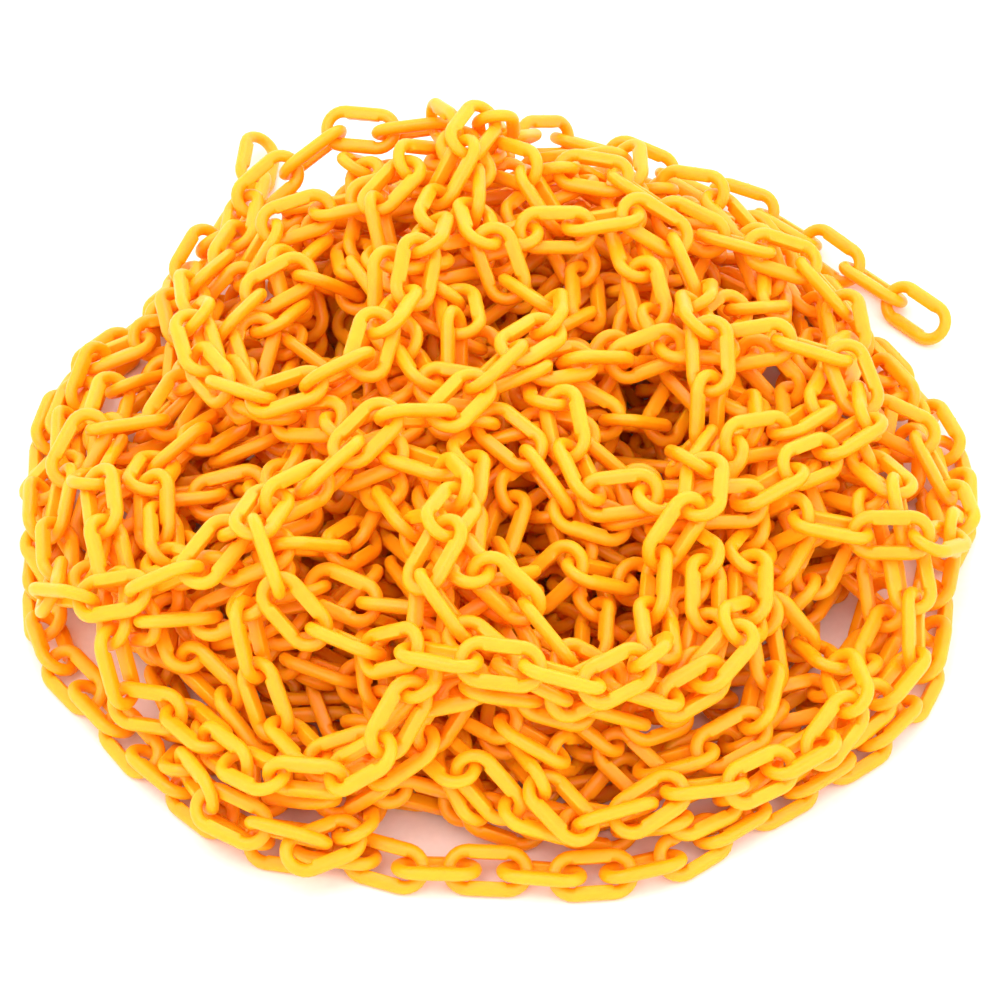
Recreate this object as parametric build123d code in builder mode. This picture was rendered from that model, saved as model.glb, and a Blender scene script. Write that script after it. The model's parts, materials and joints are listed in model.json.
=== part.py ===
from build123d import *
import copy
import math
import os

import numpy as np
from scipy.spatial import cKDTree

# A loose heap of plastic barrier chain, lying on the floor. Millimetres, +Z up, floor at Z = 0,
# origin under the middle of the heap.

# ---- the link: an oblong ring, round wire at its two crowns, flat-faced legs between them ----
wire_diameter = 6.0
link_length = 39.0
link_width = 22.0
leg_face_depth = 3.3  # from the wire's axis in to the leg's flat face
leg_face_width = 5.4
crown_radius = (link_width - wire_diameter) / 2
leg_length = link_length - link_width

# ---- the chain ----
link_count = 1100
links_per_run = 22  # links written together as one node
loose_links = 2  # at each free end, each a node of its own
lay_pitch = 23.0  # between link centres as the chain is paid out; 27 is taut
slack = 0.96  # how far the heap's links then draw together, as a share of that

# ---- the heap ----
heap_radius = 206.0
heap_fullness = 3.4  # exponent of the dome's profile: higher is flatter, with steeper sides
rim_share = 0.25  # height wanted at the very rim, as a share of the crown's
rim_turns = 0.95  # turns of chain run around the rim before the inside is filled
start_angle = 118.0  # where on the rim the chain starts, degrees
end_angle = 84.0  # where its last links run out over the rim
seed = 3

# ---- paying out ----
start_outset = 30.0  # the first link starts this far outside the rim
rim_inset = 8.0  # the turn around the rim keeps this far inside it
rim_sway = 9.0  # and sways this much either way
sway_per_link = 0.9  # radians of that sway from one link to the next
rim_pull = 0.02  # radians turned back for each mm off the rim's line
way_out_links = 24  # the last links, which run out over the rim
way_out_reach = 90.0  # they head for a place this far outside it
tail_outset = 24.0  # and then turn to lie this far outside it
largest_turn = 0.55  # radians between one link and the next
wander_kept, wander_added = 0.5, 0.65  # how the route wavers on its way to a goal
goal_tries = 12  # places weighed up for each goal
goal_spread = 2.0  # radians to either side of the heading
nearest_goal, farthest_goal = 90, 200
goal_reached = 40
goal_links = 9  # links laid towards one goal before another is taken
fill_cell = 20.0  # the heap's fill is counted on a square grid of this pitch
fill_here, fill_beside = 0.4, 0.15  # how one link's fill is shared out over the grid
rise_per_link = 3.4  # each link starts this much higher than the one before
look_ahead = 34.0  # the route turns in when this far ahead would be outside the rim
aim_error = 0.05  # radians, yaw and pitch of a link off the route
roll_mean, roll_error = 45, 15  # degrees

# ---- settling ----
bead_count_leg = 6
bead_count_crown = 8
leg_bead_radius = 3.5
leg_bead_inset = 0.6
crown_bead_radius = 3.25
turn_give = 1 / 90.0  # how readily a push turns a link, against moving it, 1/mm2
squeeze_share = 0.02  # height lost at each step
squeezed_height = 370.0
fall_gain = 0.04  # mm per step, each step
fall_limit = 1.5
fall_kept = (0.6, 0.6, 0.95)  # speed kept from one step to the next
end_pull = 0.005  # how hard the two free ends are drawn out while the heap falls
fall_steps = 470
heap_edge = 6.0  # links come to rest no farther than this outside the rim
ease_steps = 520
ease_carry = 0.9  # speed kept from one step to the next
ease_limit, ease_turn_limit = 0.5, 0.05  # mm and radians per step


def bead_layout():
    """Beads along a link's wire, in the link's own plane (X along it, Y across), and their radii."""
    beads = []
    for side in (-1, 1):
        for k in range(bead_count_leg):
            along = ((k + 0.5) / bead_count_leg - 0.5) * leg_length
            beads.append((along, side * (crown_radius - leg_bead_inset), leg_bead_radius))
        for k in range(bead_count_crown):
            angle = math.pi * ((k + 0.5) / bead_count_crown - 0.5)
            beads.append(
                (
                    side * (leg_length / 2 + crown_radius * math.cos(angle)),
                    crown_radius * math.sin(angle),
                    crown_bead_radius,
                )
            )
    return np.round(np.array(beads), 6)


beads = bead_layout()
beads_per_link = len(beads)
owner = np.repeat(np.arange(link_count), beads_per_link)
bead_radius = np.tile(beads[:, 2], link_count)
widest_reach = 2 * leg_bead_radius


def wanted_height(radius):
    """The heap's wanted height at a distance from its middle, as a share of its crown's."""
    share = min(radius / heap_radius, 1.0)
    return (1 - share**heap_fullness) * (1 - rim_share) + rim_share


def turn_towards(heading, wanted):
    """The signed turn from one heading to another, between -pi and pi."""
    return (wanted - heading + math.pi) % (2 * math.pi) - math.pi


class Fill:
    """How much chain lies over each square of the floor."""

    def __init__(self):
        self.half = int(1.5 * heap_radius / fill_cell)
        self.laid = np.zeros((2 * self.half + 1, 2 * self.half + 1))

    def square(self, x, y):
        return int(round(x / fill_cell)) + self.half, int(round(y / fill_cell)) + self.half

    def lay(self, x, y):
        column, row = self.square(x, y)
        self.laid[column, row] += fill_here
        for dx, dy in ((1, 0), (-1, 0), (0, 1), (0, -1)):
            self.laid[column + dx, row + dy] += fill_beside

    def fullness(self, x, y):
        column, row = self.square(x, y)
        return self.laid[column, row] / wanted_height(math.hypot(x, y))


def next_goal(dice, fill, x, y, heading):
    """Of several places within reach ahead, the one towards which the heap is lowest."""
    best = None
    for _ in range(goal_tries):
        angle = heading + float(dice.uniform(-goal_spread, goal_spread))
        hop = float(dice.uniform(nearest_goal, farthest_goal))
        goal = (x + hop * math.cos(angle), y + hop * math.sin(angle))
        if math.hypot(*goal) > heap_radius - 5:
            continue
        halfway = fill.fullness((x + goal[0]) / 2, (y + goal[1]) / 2)
        load = 0.5 * fill.fullness(*goal) + 0.3 * halfway + float(dice.uniform(0, 0.25))
        if best is None or load < best[0]:
            best = (load, goal)
    return best[1] if best else (x / 2, y / 2)


def pay_out():
    """A winding route for the link centres: round the rim, then wherever the heap is lowest."""
    dice = np.random.default_rng(seed)
    fill = Fill()
    rim_links = int(rim_turns * 2 * math.pi * heap_radius / (slack * lay_pitch))
    start, end = math.radians(start_angle), math.radians(end_angle)
    far_out = heap_radius + way_out_reach
    way_out = (far_out * math.cos(end), far_out * math.sin(end))
    x, y = (heap_radius + start_outset) * math.cos(start), (heap_radius + start_outset) * math.sin(start)
    heading = start + math.pi
    goal, age, wander = (x, y), 0, 0.0
    centres = []
    for number in range(link_count):
        centres.append((x, y, (number + 1) * rise_per_link))
        fill.lay(x, y)
        if number < rim_links:
            drift = math.hypot(x, y) - heap_radius + rim_inset + rim_sway * math.sin(sway_per_link * number)
            turn = turn_towards(heading, math.atan2(y, x) + math.pi / 2 + rim_pull * drift)
        elif number > link_count - way_out_links and math.hypot(x, y) < heap_radius:
            turn = 0.8 * turn_towards(heading, math.atan2(way_out[1] - y, way_out[0] - x))
        elif number > link_count - way_out_links:
            drift = math.hypot(x, y) - heap_radius - tail_outset
            turn = turn_towards(heading, math.atan2(y, x) - math.pi / 2 - rim_pull * drift)
        else:
            age += 1
            if math.dist((x, y), goal) < goal_reached or age > goal_links or number == rim_links:
                goal, age = next_goal(dice, fill, x, y, heading), 0
            wander = wander_kept * wander + wander_added * float(dice.uniform(-1, 1))
            turn = 0.6 * turn_towards(heading, math.atan2(goal[1] - y, goal[0] - x)) + wander
            turn = max(-largest_turn, min(largest_turn, turn))
            ahead = heading + turn
            next_x, next_y = x + look_ahead * math.cos(ahead), y + look_ahead * math.sin(ahead)
            if math.hypot(next_x, next_y) > heap_radius:
                inwards = turn_towards(heading, math.atan2(-y, -x))
                turn = math.copysign(largest_turn, inwards)
        heading += max(-largest_turn, min(largest_turn, turn))
        x += slack * lay_pitch * math.cos(heading)
        y += slack * lay_pitch * math.sin(heading)
    return np.round(np.array(centres) / np.array([slack, slack, 1]), 4)


def quaternion_product(a, b):
    aw, ax, ay, az = a
    bw, bx, by, bz = b
    return (
        aw * bw - ax * bx - ay * by - az * bz,
        aw * bx + ax * bw + ay * bz - az * by,
        aw * by - ax * bz + ay * bw + az * bx,
        aw * bz + ax * by - ay * bx + az * bw,
    )


def point_links(centres):
    """Each link along the route, rolled about 45 degrees, the other way from its neighbours."""
    dice = np.random.default_rng(seed + 1)
    turns = []
    for number in range(link_count):
        before = centres[max(number - 1, 0)]
        after = centres[min(number + 1, link_count - 1)]
        dx, dy, dz = (float(v) for v in after - before)
        yaw = math.atan2(dy, dx) + float(dice.uniform(-aim_error, aim_error))
        pitch = float(dice.uniform(-aim_error, aim_error)) - math.atan2(dz, math.hypot(dx, dy))
        roll = (roll_mean if number % 2 else -roll_mean) + float(dice.uniform(-roll_error, roll_error))
        roll = math.radians(roll)
        heading = (math.cos(yaw / 2), 0.0, 0.0, math.sin(yaw / 2))
        slope = (math.cos(pitch / 2), 0.0, math.sin(pitch / 2), 0.0)
        lean = (math.cos(roll / 2), math.sin(roll / 2), 0.0, 0.0)
        turns.append(quaternion_product(quaternion_product(heading, slope), lean))
    return np.round(np.array(turns), 8)


def link_axes(turns):
    """The directions along each link and across it."""
    w, x, y, z = turns.T
    along = np.stack([1 - 2 * (y * y + z * z), 2 * (x * y + w * z), 2 * (x * z - w * y)], 1)
    across = np.stack([2 * (x * y - w * z), 1 - 2 * (x * x + z * z), 2 * (y * z + w * x)], 1)
    return along, across


def bead_arms(turns):
    """Every bead's place from its own link's centre."""
    along, across = link_axes(turns)
    arms = along[:, None] * beads[None, :, 0:1] + across[:, None] * beads[None, :, 1:2]
    return arms.reshape(-1, 3)


def near_beads(centres, turns, margin):
    """Pairs of beads of different links that are, or soon may be, within reach of each other."""
    places = bead_arms(turns) + np.repeat(centres, beads_per_link, axis=0)
    pairs = cKDTree(places).query_pairs(widest_reach + margin, output_type="ndarray")
    first, second = pairs[:, 0], pairs[:, 1]
    apart = owner[first] != owner[second]
    return first[apart], second[apart]


def length(vectors):
    return np.sqrt(vectors[:, 0] ** 2 + vectors[:, 1] ** 2 + vectors[:, 2] ** 2)


def turned(turns, spins):
    """Each link's turn after a small further turn, a vector in radians."""
    w, x, y, z = turns.T
    sx, sy, sz = 0.5 * spins.T
    new = np.stack(
        [
            w - sx * x - sy * y - sz * z,
            x + sx * w + sy * z - sz * y,
            y + sy * w + sz * x - sx * z,
            z + sz * w + sx * y - sy * x,
        ],
        1,
    )
    size = np.sqrt(new[:, 0] ** 2 + new[:, 1] ** 2 + new[:, 2] ** 2 + new[:, 3] ** 2)
    return new / size[:, None]


def push_apart(centres, turns, near, gain):
    """The move and spin of every link that part its overlapping beads from others and the floor."""
    arms = bead_arms(turns)
    places = arms + np.repeat(centres, beads_per_link, axis=0)
    first, second = near
    between = places[first] - places[second]
    gap = length(between)
    reach = bead_radius[first] + bead_radius[second]
    hit = gap < reach
    first, second, gap = first[hit], second[hit], gap[hit] + 1e-9
    depth = reach[hit] - gap
    away = between[hit] / gap[:, None]
    first_lever, second_lever = np.cross(arms[first], away), np.cross(arms[second], away)
    give = 2 + turn_give * (length(first_lever) ** 2 + length(second_lever) ** 2)
    weight = depth / widest_reach
    share = (weight * depth / give)[:, None]

    low = np.nonzero(places[:, 2] < bead_radius)[0]
    sunk = bead_radius[low] - places[low, 2]
    floor_lever = np.stack([arms[low, 1], -arms[low, 0], np.zeros(len(low))], 1)
    floor_weight = sunk / widest_reach
    floor_share = (floor_weight * sunk / (1 + turn_give * length(floor_lever) ** 2))[:, None]

    def gather(values, beads_moved):
        return np.bincount(owner[beads_moved], values, link_count)

    total = gather(weight, first) + gather(weight, second) + gather(floor_weight, low)
    scale = (gain / np.maximum(total, 0.02))[:, None]
    move, spin = np.empty((link_count, 3)), np.empty((link_count, 3))
    for k in range(3):
        push = (share * away)[:, k]
        move[:, k] = gather(push, first) - gather(push, second)
        first_spin, second_spin = (share * first_lever)[:, k], (share * second_lever)[:, k]
        spin[:, k] = gather(first_spin, first) - gather(second_spin, second)
        spin[:, k] += gather((floor_share * floor_lever)[:, k], low)
    move[:, 2] += gather(floor_share[:, 0], low)
    return move * scale, spin * scale * turn_give


def hold_in(centres, limit):
    """Links beyond the limit come half way back to it, all but the ones at the chain's two ends."""
    radius = np.sqrt(centres[:, 0] ** 2 + centres[:, 1] ** 2)
    back = np.maximum(radius - limit, 0) / radius / 2
    back[:way_out_links] = 0
    back[-way_out_links:] = 0
    centres = centres.copy()
    centres[:, :2] -= centres[:, :2] * back[:, None]
    return centres


def part_links(centres, turns, near, rounds, limit):
    for _ in range(rounds):
        move, spin = push_apart(centres, turns, near, 1.5)
        centres = np.round(hold_in(centres + move, limit), 6)
        turns = np.round(turned(turns, spin), 8)
    return centres, turns


def squeeze(centres, turns):
    """Bring the tall, loose stack down towards the heap's height without letting links meet."""
    steps = int(math.log(centres[-1, 2] / squeezed_height) / squeeze_share)
    inwards = slack ** (1 / steps)
    for step in range(steps):
        centres = np.round(centres * np.array([inwards, inwards, 1 - squeeze_share]), 6)
        if step % 4 == 0:
            near = near_beads(centres, turns, 3.0)
        centres, turns = part_links(centres, turns, near, 3, 2 * heap_radius)
    return centres, turns


def fall(centres, turns, start_pull, finish_pull):
    """Let every link fall until the links below, or the floor, hold it up."""
    speed = np.zeros_like(centres)
    for step in range(fall_steps):
        speed[:, 2] -= fall_gain
        speed[0] += end_pull * start_pull
        speed[-1] += end_pull * finish_pull
        before = centres
        centres = centres + np.clip(speed, -fall_limit, fall_limit)
        if step % 3 == 0:
            near = near_beads(centres, turns, 3.0)
        centres, turns = part_links(centres, turns, near, 4, heap_radius + heap_edge)
        speed = (centres - before) * np.array(fall_kept)
    return centres, turns


def ease(centres, turns):
    """Open the last tight contacts, with no weight on them, until every link stands clear."""
    moving, spinning = np.zeros_like(centres), np.zeros_like(centres)
    for step in range(ease_steps):
        if step % 10 == 0:
            near = near_beads(centres, turns, 2.0)
        move, spin = push_apart(centres, turns, near, 1.0)
        moving, spinning = ease_carry * moving + move, ease_carry * spinning + spin
        moving *= np.minimum(1, ease_limit / (length(moving) + 1e-9))[:, None]
        spinning *= np.minimum(1, ease_turn_limit / (length(spinning) + 1e-9))[:, None]
        centres = np.round(centres + moving, 6)
        turns = np.round(turned(turns, spinning), 8)
    return centres, turns


def rest_on_floor(centres, turns):
    """Move the heap so that its box stands on the floor, with its middle over the origin."""
    along, across = link_axes(turns)
    reach = leg_length / 2 * np.abs(along) + crown_radius * np.sqrt(along**2 + across**2)
    lowest = (centres - reach).min(axis=0) - wire_diameter / 2
    highest = (centres + reach).max(axis=0) + wire_diameter / 2
    middle = (lowest + highest) / 2
    return centres - np.array([middle[0], middle[1], lowest[2]])


route = pay_out()
level = np.array([1, 1, 0])
centres, turns = squeeze(route, point_links(route))
centres, turns = fall(centres, turns, (route[0] - route[1]) * level, (route[-1] - route[-2]) * level)
centres, turns = ease(centres, turns)
centres = rest_on_floor(centres, turns)
along, across = link_axes(turns)

with BuildPart() as link:
    with BuildSketch(Plane.YZ) as leg_sections:
        with Locations((-crown_radius, 0), (crown_radius, 0)):
            Circle(wire_diameter / 2)
        for side in (-1, 1):
            flat = side * (crown_radius - leg_face_depth)
            with BuildLine():
                Polyline(
                    (side * crown_radius, -wire_diameter / 2),
                    (flat, -leg_face_width / 2),
                    (flat, leg_face_width / 2),
                    (side * crown_radius, wire_diameter / 2),
                    close=True,
                )
            make_face()
    extrude(amount=leg_length / 2, both=True)
    with BuildSketch(Plane.YZ.offset(leg_length / 2)) as crown_section:
        with Locations((crown_radius, 0)):
            Circle(wire_diameter / 2)
    revolve(axis=Axis((leg_length / 2, 0, 0), (0, 0, -1)), revolution_arc=180)
    mirror(about=Plane.YZ)


def placed_link(number):
    """The link with this place in the chain, where it came to rest."""
    x_axis, y_axis = Vector(*along[number]), Vector(*across[number])
    one = copy.copy(link.part.solid())
    one.location = Plane(Vector(*centres[number]), x_dir=x_axis, z_dir=x_axis.cross(y_axis)).location
    one.label = f"link_{number + 1:04d}"
    return one


os.makedirs("parts", exist_ok=True)

# The links of a run are separate solids that don't touch, so each run is a compound of them.
pieces = {
    "first_link": range(0, 1),
    "second_link": range(1, 2),
    "next_to_last_link": range(link_count - 2, link_count - 1),
    "last_link": range(link_count - 1, link_count),
}
run_starts = range(loose_links, link_count - loose_links, links_per_run)
for number, start in enumerate(run_starts, start=1):
    pieces[f"chain_run_{number:02d}"] = range(start, min(start + links_per_run, link_count - loose_links))

for name, numbers in pieces.items():
    piece = Compound(label=name, children=[placed_link(number) for number in numbers])
    export_step(piece, f"parts/{name}.step")
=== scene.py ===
import json
import math

import bpy
import numpy as np
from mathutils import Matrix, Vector

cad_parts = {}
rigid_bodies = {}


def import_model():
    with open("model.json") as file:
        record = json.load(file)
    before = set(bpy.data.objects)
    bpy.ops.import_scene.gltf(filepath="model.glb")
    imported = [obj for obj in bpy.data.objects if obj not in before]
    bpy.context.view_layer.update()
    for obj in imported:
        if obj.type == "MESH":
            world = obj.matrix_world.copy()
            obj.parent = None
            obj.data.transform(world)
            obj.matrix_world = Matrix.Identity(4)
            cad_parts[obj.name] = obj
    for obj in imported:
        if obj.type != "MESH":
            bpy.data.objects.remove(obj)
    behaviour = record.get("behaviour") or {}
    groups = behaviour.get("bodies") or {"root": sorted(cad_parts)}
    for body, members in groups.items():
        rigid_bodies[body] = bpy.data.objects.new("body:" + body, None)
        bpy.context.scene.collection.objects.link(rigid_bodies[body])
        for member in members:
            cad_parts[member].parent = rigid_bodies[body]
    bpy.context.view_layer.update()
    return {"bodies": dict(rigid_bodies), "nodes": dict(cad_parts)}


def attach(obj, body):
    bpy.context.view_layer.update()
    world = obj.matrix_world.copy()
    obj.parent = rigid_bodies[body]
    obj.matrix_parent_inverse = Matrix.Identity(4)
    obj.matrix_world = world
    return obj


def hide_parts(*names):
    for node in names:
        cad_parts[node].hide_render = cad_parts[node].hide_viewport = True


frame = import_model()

# A loose heap of yellow-orange plastic barrier chain on a white studio floor. Every link of every
# CAD node is found again by its own surface and redrawn as a moulded link: D-shaped legs with
# crisp flat inner faces, slightly thinner crowns, a parting line and a gate mark.

MM = 0.001
SEED = 41

# ---- the link, in millimetres, in its own plane ----
LEG = 17.0  # straight length of a leg
CROWN = 8.0  # radius of the wire's axis round a crown
WIRE = 3.0  # the CAD wire's radius, which nothing here passes but the gate mark
SKIN = 2.93  # radius of the moulded surface; the parting line stands from it out to the CAD wire's
FACE_DEPTH = 3.28  # from the wire's axis in to a leg's flat face
FACE_SINK = 0.05  # how far the middle of that face is sunk
FACE_EDGE = [(-1.5, 2.84), (-2.84, 2.72), (-3.16, 2.52), (-FACE_DEPTH, 2.22)]  # its rounded edge
OUTER_ANGLES = [-90, -68, -46, -24, -8, 0, 8, 24, 46, 68, 90]  # degrees round the wire
INNER_ANGLES = [112, 132, 148, 160, 180, 200, 212, 228, 248]
OUTER_LINE, INNER_LINE = 5, 15  # which of those points are on the parting line
CROWN_THINNING = 0.2  # how much thinner the wire is at the middle of a crown
FACE_RUNOUT = 1.1  # length over which a flat face runs out into the round crown
LEG_STATIONS = (-8.5, -8.1, -7.4, -4.0, -0.9, 0.0, 0.9, 4.0, 7.4, 8.1, 8.5)
CROWN_STEPS = 12
GATE_HEIGHT = 0.24  # at its highest; each link's is a share of this
LEAST_GATE = 0.2
LARGEST_TWIST = math.radians(0.8)
WELD_STEPS = 1e5  # vertices in the same step of this many to the metre are one

# ---- the plastic and the light ----
DEEP_YELLOW = (1.0, 0.37, 0.002, 1.0)
LIGHT_YELLOW = (1.0, 0.45, 0.006, 1.0)
SCUFFED = (1.0, 0.58, 0.10, 1.0)
BROAD, FLOW, SCUFF, GRAIN = 14.0, 170.0, 420.0, 1500.0  # noise scales, per metre
PAPER_DARK, PAPER_LIGHT = (0.90, 0.90, 0.90, 1.0), (0.94, 0.94, 0.94, 1.0)
PAPER_TOOTH = 260.0
FLOOR_SIZE = 9.0
LIGHT_AIM = (0.0, 0.0, 0.05)
LAMPS = (  # name, place, width, watts, tint
    ("key", (-0.55, -0.35, 1.55), 1.0, 6.5, (1.0, 0.98, 0.95)),
    ("fill", (0.95, -0.75, 1.1), 0.8, 3.0, (1.0, 0.98, 0.97)),
    ("back", (0.35, 1.15, 1.1), 0.8, 3.0, (1.0, 0.99, 0.98)),
)
SKY_TINT, SKY_STRENGTH = (1.0, 0.99, 0.98, 1.0), 1.6
ELEVATION = math.radians(47.5)
DISTANCE = 2.2
TARGET = (0.0, -0.025, 0.027)
LENS = 179.0


def round_section(radius):
    """Points round the wire, each an outward and an upward distance from its axis."""
    angles = [math.radians(a) for a in OUTER_ANGLES + INNER_ANGLES]
    return [(radius * math.cos(a), radius * math.sin(a)) for a in angles]


def leg_section():
    """The same points round a leg, whose inner side is flat with crisp edges."""
    outer = round_section(SKIN)[: len(OUTER_ANGLES)]
    far_edge = [(out, -up) for out, up in reversed(FACE_EDGE)]
    return outer + FACE_EDGE + [(FACE_SINK - FACE_DEPTH, 0.0)] + far_edge


def link_template():
    """One moulded link: its vertices in millimetres, its quads, and 1 for a gate mark's vertex."""
    stations = []
    for side in (-1, 1):
        for x in LEG_STATIONS:
            flat = min(1.0, (LEG / 2 - abs(x)) / FACE_RUNOUT)
            stations.append((-side * x, side * CROWN, 0.0, side, flat, 0.0))
        for k in range(1, CROWN_STEPS):
            t = math.pi * k / CROWN_STEPS
            nx, ny = -side * math.sin(t), side * math.cos(t)
            stations.append((-side * LEG / 2 + CROWN * nx, CROWN * ny, nx, ny, 0.0, math.sin(t)))
    flat_section = np.array(leg_section())
    places, gate = [], []
    for x, y, nx, ny, flat, crown in stations:
        section = np.array(round_section(SKIN - CROWN_THINNING * crown))
        section = section * (1 - flat) + flat_section * flat
        section[OUTER_LINE, 0] += WIRE - SKIN
        section[INNER_LINE, 0] -= (WIRE - SKIN) * (1 - flat)
        for number, (out, up) in enumerate(section):
            places.append((x + nx * out, y + ny * out, up))
            gate.append(1.0 if x == 0 and y > 0 and number == OUTER_LINE else 0.0)
    count, across = len(stations), len(flat_section)
    quads = []
    for s in range(count):
        for k in range(across):
            here, ahead = s * across, (s + 1) % count * across
            beside = (k + 1) % across
            quads.append((here + k, ahead + k, ahead + beside, here + beside))
    return np.array(places), np.array(quads), np.array(gate)


def welded(node):
    """A CAD node's places and triangles, with vertices that share a place made one."""
    mesh = node.data
    mesh.calc_loop_triangles()
    places = np.empty(len(mesh.vertices) * 3, np.float32)
    mesh.vertices.foreach_get("co", places)
    corners = np.empty(len(mesh.loop_triangles) * 3, np.int32)
    mesh.loop_triangles.foreach_get("vertices", corners)
    places = places.reshape(-1, 3).astype(float)
    grid = np.round(places * WELD_STEPS).astype(np.int64)
    _, first, same = np.unique(grid, axis=0, return_index=True, return_inverse=True)
    return places[first], same.ravel()[corners].reshape(-1, 3)


def islands(count, triangles):
    """A number for each vertex that is the same over each separate surface."""
    label = np.arange(count)
    while True:
        lowest = label[triangles].min(axis=1)
        lower = label.copy()
        for k in range(3):
            np.minimum.at(lower, triangles[:, k], lowest)
        lower = lower[lower]
        if np.array_equal(lower, label):
            return label
        label = lower


def links_of(node):
    """Centre, direction along and direction across of every link in a CAD node."""
    places, triangles = welded(node)
    label = islands(len(places), triangles)[triangles[:, 0]]
    found = []
    for value in np.unique(label):
        corners = places[triangles[label == value]]
        edges = np.cross(corners[:, 1] - corners[:, 0], corners[:, 2] - corners[:, 0])
        area = np.linalg.norm(edges, axis=1)
        middles = corners.mean(axis=1)
        centre = (area[:, None] * middles).sum(axis=0) / area.sum()
        corners, middles = corners - centre, middles - centre
        spread = np.einsum("n,nki,nkj->ij", area, corners, corners)
        spread += 9 * np.einsum("n,ni,nj->ij", area, middles, middles)
        directions = np.linalg.eigh(spread)[1]
        found.append((centre, directions[:, 2], directions[:, 1]))
    return found


template, template_quads, template_gate = link_template()


def moulded(name, links, dice, material):
    """A mesh of moulded links in the places of these, with a shade of its own for each."""
    places, shades = [], []
    half = LEG / 2 + CROWN
    for centre, along, across in links:
        if dice.random() < 0.5:
            along = -along
        up = np.cross(along, across)
        twist = dice.uniform(-1, 1) * LARGEST_TWIST * template[:, 0] / half
        y = template[:, 1] + template_gate * GATE_HEIGHT * dice.uniform(LEAST_GATE, 1.0)
        z = template[:, 2]
        y, z = y * np.cos(twist) - z * np.sin(twist), y * np.sin(twist) + z * np.cos(twist)
        places.append(centre + MM * (template[:, :1] * along + y[:, None] * across + z[:, None] * up))
        shades.append(np.full(len(template), dice.uniform(-1, 1)))
    places = np.concatenate(places)
    size = len(template)
    quads = np.concatenate([template_quads + size * k for k in range(len(links))])
    mesh = bpy.data.meshes.new(name)
    mesh.vertices.add(len(places))
    mesh.vertices.foreach_set("co", places.astype(np.float32).ravel())
    mesh.loops.add(quads.size)
    mesh.loops.foreach_set("vertex_index", quads.astype(np.int32).ravel())
    mesh.polygons.add(len(quads))
    mesh.polygons.foreach_set("loop_start", np.arange(0, quads.size, 4, dtype=np.int32))
    mesh.polygons.foreach_set("use_smooth", np.ones(len(quads), bool))
    mesh.update(calc_edges=True)
    shade = mesh.attributes.new("link_shade", "FLOAT", "POINT")
    shade.data.foreach_set("value", np.concatenate(shades).astype(np.float32))
    mesh.materials.append(material)
    piece = bpy.data.objects.new(name, mesh)
    bpy.context.scene.collection.objects.link(piece)
    return piece


class Tree:
    """A short way to add and join shader nodes."""

    def __init__(self, material):
        material.use_nodes = True
        self.nodes, self.links = material.node_tree.nodes, material.node_tree.links
        self.shader = self.nodes["Principled BSDF"]

    def join(self, value, socket):
        if isinstance(value, bpy.types.NodeSocket):
            self.links.new(value, socket)
        else:
            socket.default_value = value

    def add(self, kind, inputs=(), **settings):
        node = self.nodes.new(kind)
        for key, value in settings.items():
            setattr(node, key, value)
        for key, value in dict(inputs).items():
            self.join(value, node.inputs[key])
        return node

    def sums(self, operation, a, b, clamp=False):
        return self.add("ShaderNodeMath", {0: a, 1: b}, operation=operation, use_clamp=clamp).outputs[0]

    def noise(self, vector, scale, detail=3.0, roughness=0.5):
        inputs = {"Vector": vector, "Scale": scale, "Detail": detail, "Roughness": roughness}
        return self.add("ShaderNodeTexNoise", inputs).outputs["Fac"]

    def between(self, value, low, high, new_low, new_high):
        inputs = {"Value": value, "From Min": low, "From Max": high, "To Min": new_low, "To Max": new_high}
        return self.add("ShaderNodeMapRange", inputs, clamp=True).outputs["Result"]

    def mix(self, share, a, b):
        node = self.add("ShaderNodeMix", {0: share}, data_type="RGBA")
        self.join(a, node.inputs[6])
        self.join(b, node.inputs[7])
        return node.outputs[2]


def chain_plastic():
    """Satin moulded polyethylene, a little translucent, with flow waves, fine grain and light scuffs."""
    material = bpy.data.materials.new("chain_plastic")
    tree = Tree(material)
    where = tree.add("ShaderNodeTexCoord").outputs["Object"]
    shade = tree.add("ShaderNodeAttribute", attribute_name="link_shade").outputs["Fac"]
    broad = tree.noise(where, BROAD, 2.0)
    flow = tree.noise(where, FLOW, 3.0)
    grain = tree.noise(where, GRAIN, 3.0, 0.6)
    scuff = tree.between(tree.noise(where, SCUFF, 5.0, 0.7), 0.60, 0.72, 0.0, 1.0)

    tone = tree.between(flow, 0.3, 0.7, 0.22, 0.62)
    tone = tree.sums("ADD", tree.sums("MULTIPLY", shade, 0.22), tone)
    tone = tree.sums("ADD", tone, tree.between(broad, 0.3, 0.7, -0.06, 0.14), clamp=True)
    colour = tree.mix(tone, DEEP_YELLOW, LIGHT_YELLOW)
    colour = tree.mix(tree.sums("MULTIPLY", scuff, 0.16), colour, SCUFFED)
    tree.join(colour, tree.shader.inputs["Base Color"])

    gloss = tree.between(flow, 0.3, 0.7, 0.30, 0.42)
    gloss = tree.sums("ADD", gloss, tree.sums("MULTIPLY", shade, 0.03))
    gloss = tree.sums("ADD", gloss, tree.sums("MULTIPLY", scuff, 0.14))
    tree.join(gloss, tree.shader.inputs["Roughness"])

    waves = {"Height": flow, "Strength": 0.35, "Distance": 0.00035}
    waves = tree.add("ShaderNodeBump", waves).outputs["Normal"]
    fine = {"Height": grain, "Strength": 0.25, "Distance": 0.00006, "Normal": waves}
    tree.join(tree.add("ShaderNodeBump", fine).outputs["Normal"], tree.shader.inputs["Normal"])

    tree.shader.inputs["IOR"].default_value = 1.5
    tree.shader.inputs["Specular IOR Level"].default_value = 0.4
    tree.shader.inputs["Subsurface Weight"].default_value = 0.5
    tree.shader.inputs["Subsurface Radius"].default_value = (1.0, 0.35, 0.04)
    tree.shader.inputs["Subsurface Scale"].default_value = 0.004
    return material


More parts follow.
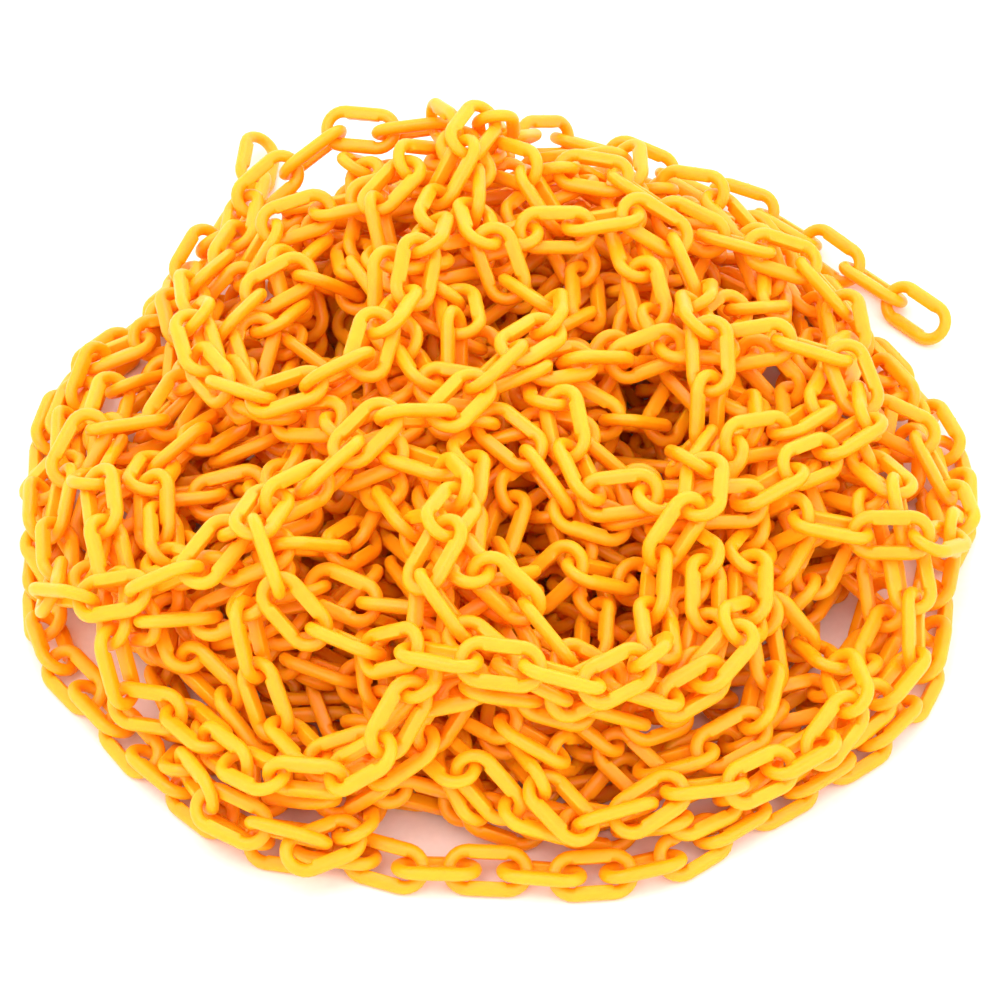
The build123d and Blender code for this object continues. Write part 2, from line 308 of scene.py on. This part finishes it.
def floor_paper():
    """White studio paper with the faintest tooth."""
    material = bpy.data.materials.new("floor_paper")
    tree = Tree(material)
    where = tree.add("ShaderNodeTexCoord").outputs["Object"]
    tooth = tree.noise(where, PAPER_TOOTH, 4.0)
    tone = tree.mix(tree.between(tooth, 0.3, 0.7, 0.0, 1.0), PAPER_DARK, PAPER_LIGHT)
    tree.join(tone, tree.shader.inputs["Base Color"])
    tree.join(tree.between(tooth, 0.3, 0.7, 0.75, 0.9), tree.shader.inputs["Roughness"])
    tree.shader.inputs["Specular IOR Level"].default_value = 0.1
    return material


def aimed(thing, place, target):
    """Put a lamp or camera at a place, looking at a target."""
    thing.location = place
    thing.rotation_euler = (Vector(target) - Vector(place)).to_track_quat("-Z", "Y").to_euler()
    bpy.context.scene.collection.objects.link(thing)
    return thing


def soft_box(name, place, width, watts, tint):
    """A round lamp of this width, aimed at the heap."""
    lamp = bpy.data.lights.new(name, "AREA")
    lamp.shape = "DISK"
    lamp.size = width
    lamp.energy = watts
    lamp.color = tint
    return aimed(bpy.data.objects.new(name, lamp), place, LIGHT_AIM)


plastic = chain_plastic()
dice = np.random.default_rng(SEED)
for body, holder in frame["bodies"].items():
    for node_name in sorted(n for n, o in frame["nodes"].items() if o.parent == holder):
        node = frame["nodes"][node_name]
        piece = moulded("moulded_" + node_name, links_of(node), dice, plastic)
        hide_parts(node_name)
        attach(piece, body)

bpy.ops.mesh.primitive_plane_add(size=FLOOR_SIZE, location=(0.0, 0.0, 0.0))
floor = bpy.context.object
floor.name = "studio_floor"
floor.data.materials.append(floor_paper())

world = bpy.data.worlds.new("studio")
bpy.context.scene.world = world
world.use_nodes = True
sky = world.node_tree.nodes["Background"]
sky.inputs["Color"].default_value = SKY_TINT
sky.inputs["Strength"].default_value = SKY_STRENGTH
[soft_box(*lamp) for lamp in LAMPS]

camera_data = bpy.data.cameras.new("camera")
camera_data.lens = LENS
camera_data.dof.use_dof = False
offset = (0.0, -DISTANCE * math.cos(ELEVATION), DISTANCE * math.sin(ELEVATION))
camera = bpy.data.objects.new("camera", camera_data)
aimed(camera, tuple(t + o for t, o in zip(TARGET, offset)), TARGET)
bpy.context.scene.camera = camera
bpy.context.scene.view_settings.view_transform = "Standard"
# Light that has been from link to link keeps the deep gaps orange.
bpy.context.scene.cycles.diffuse_bounces = 6
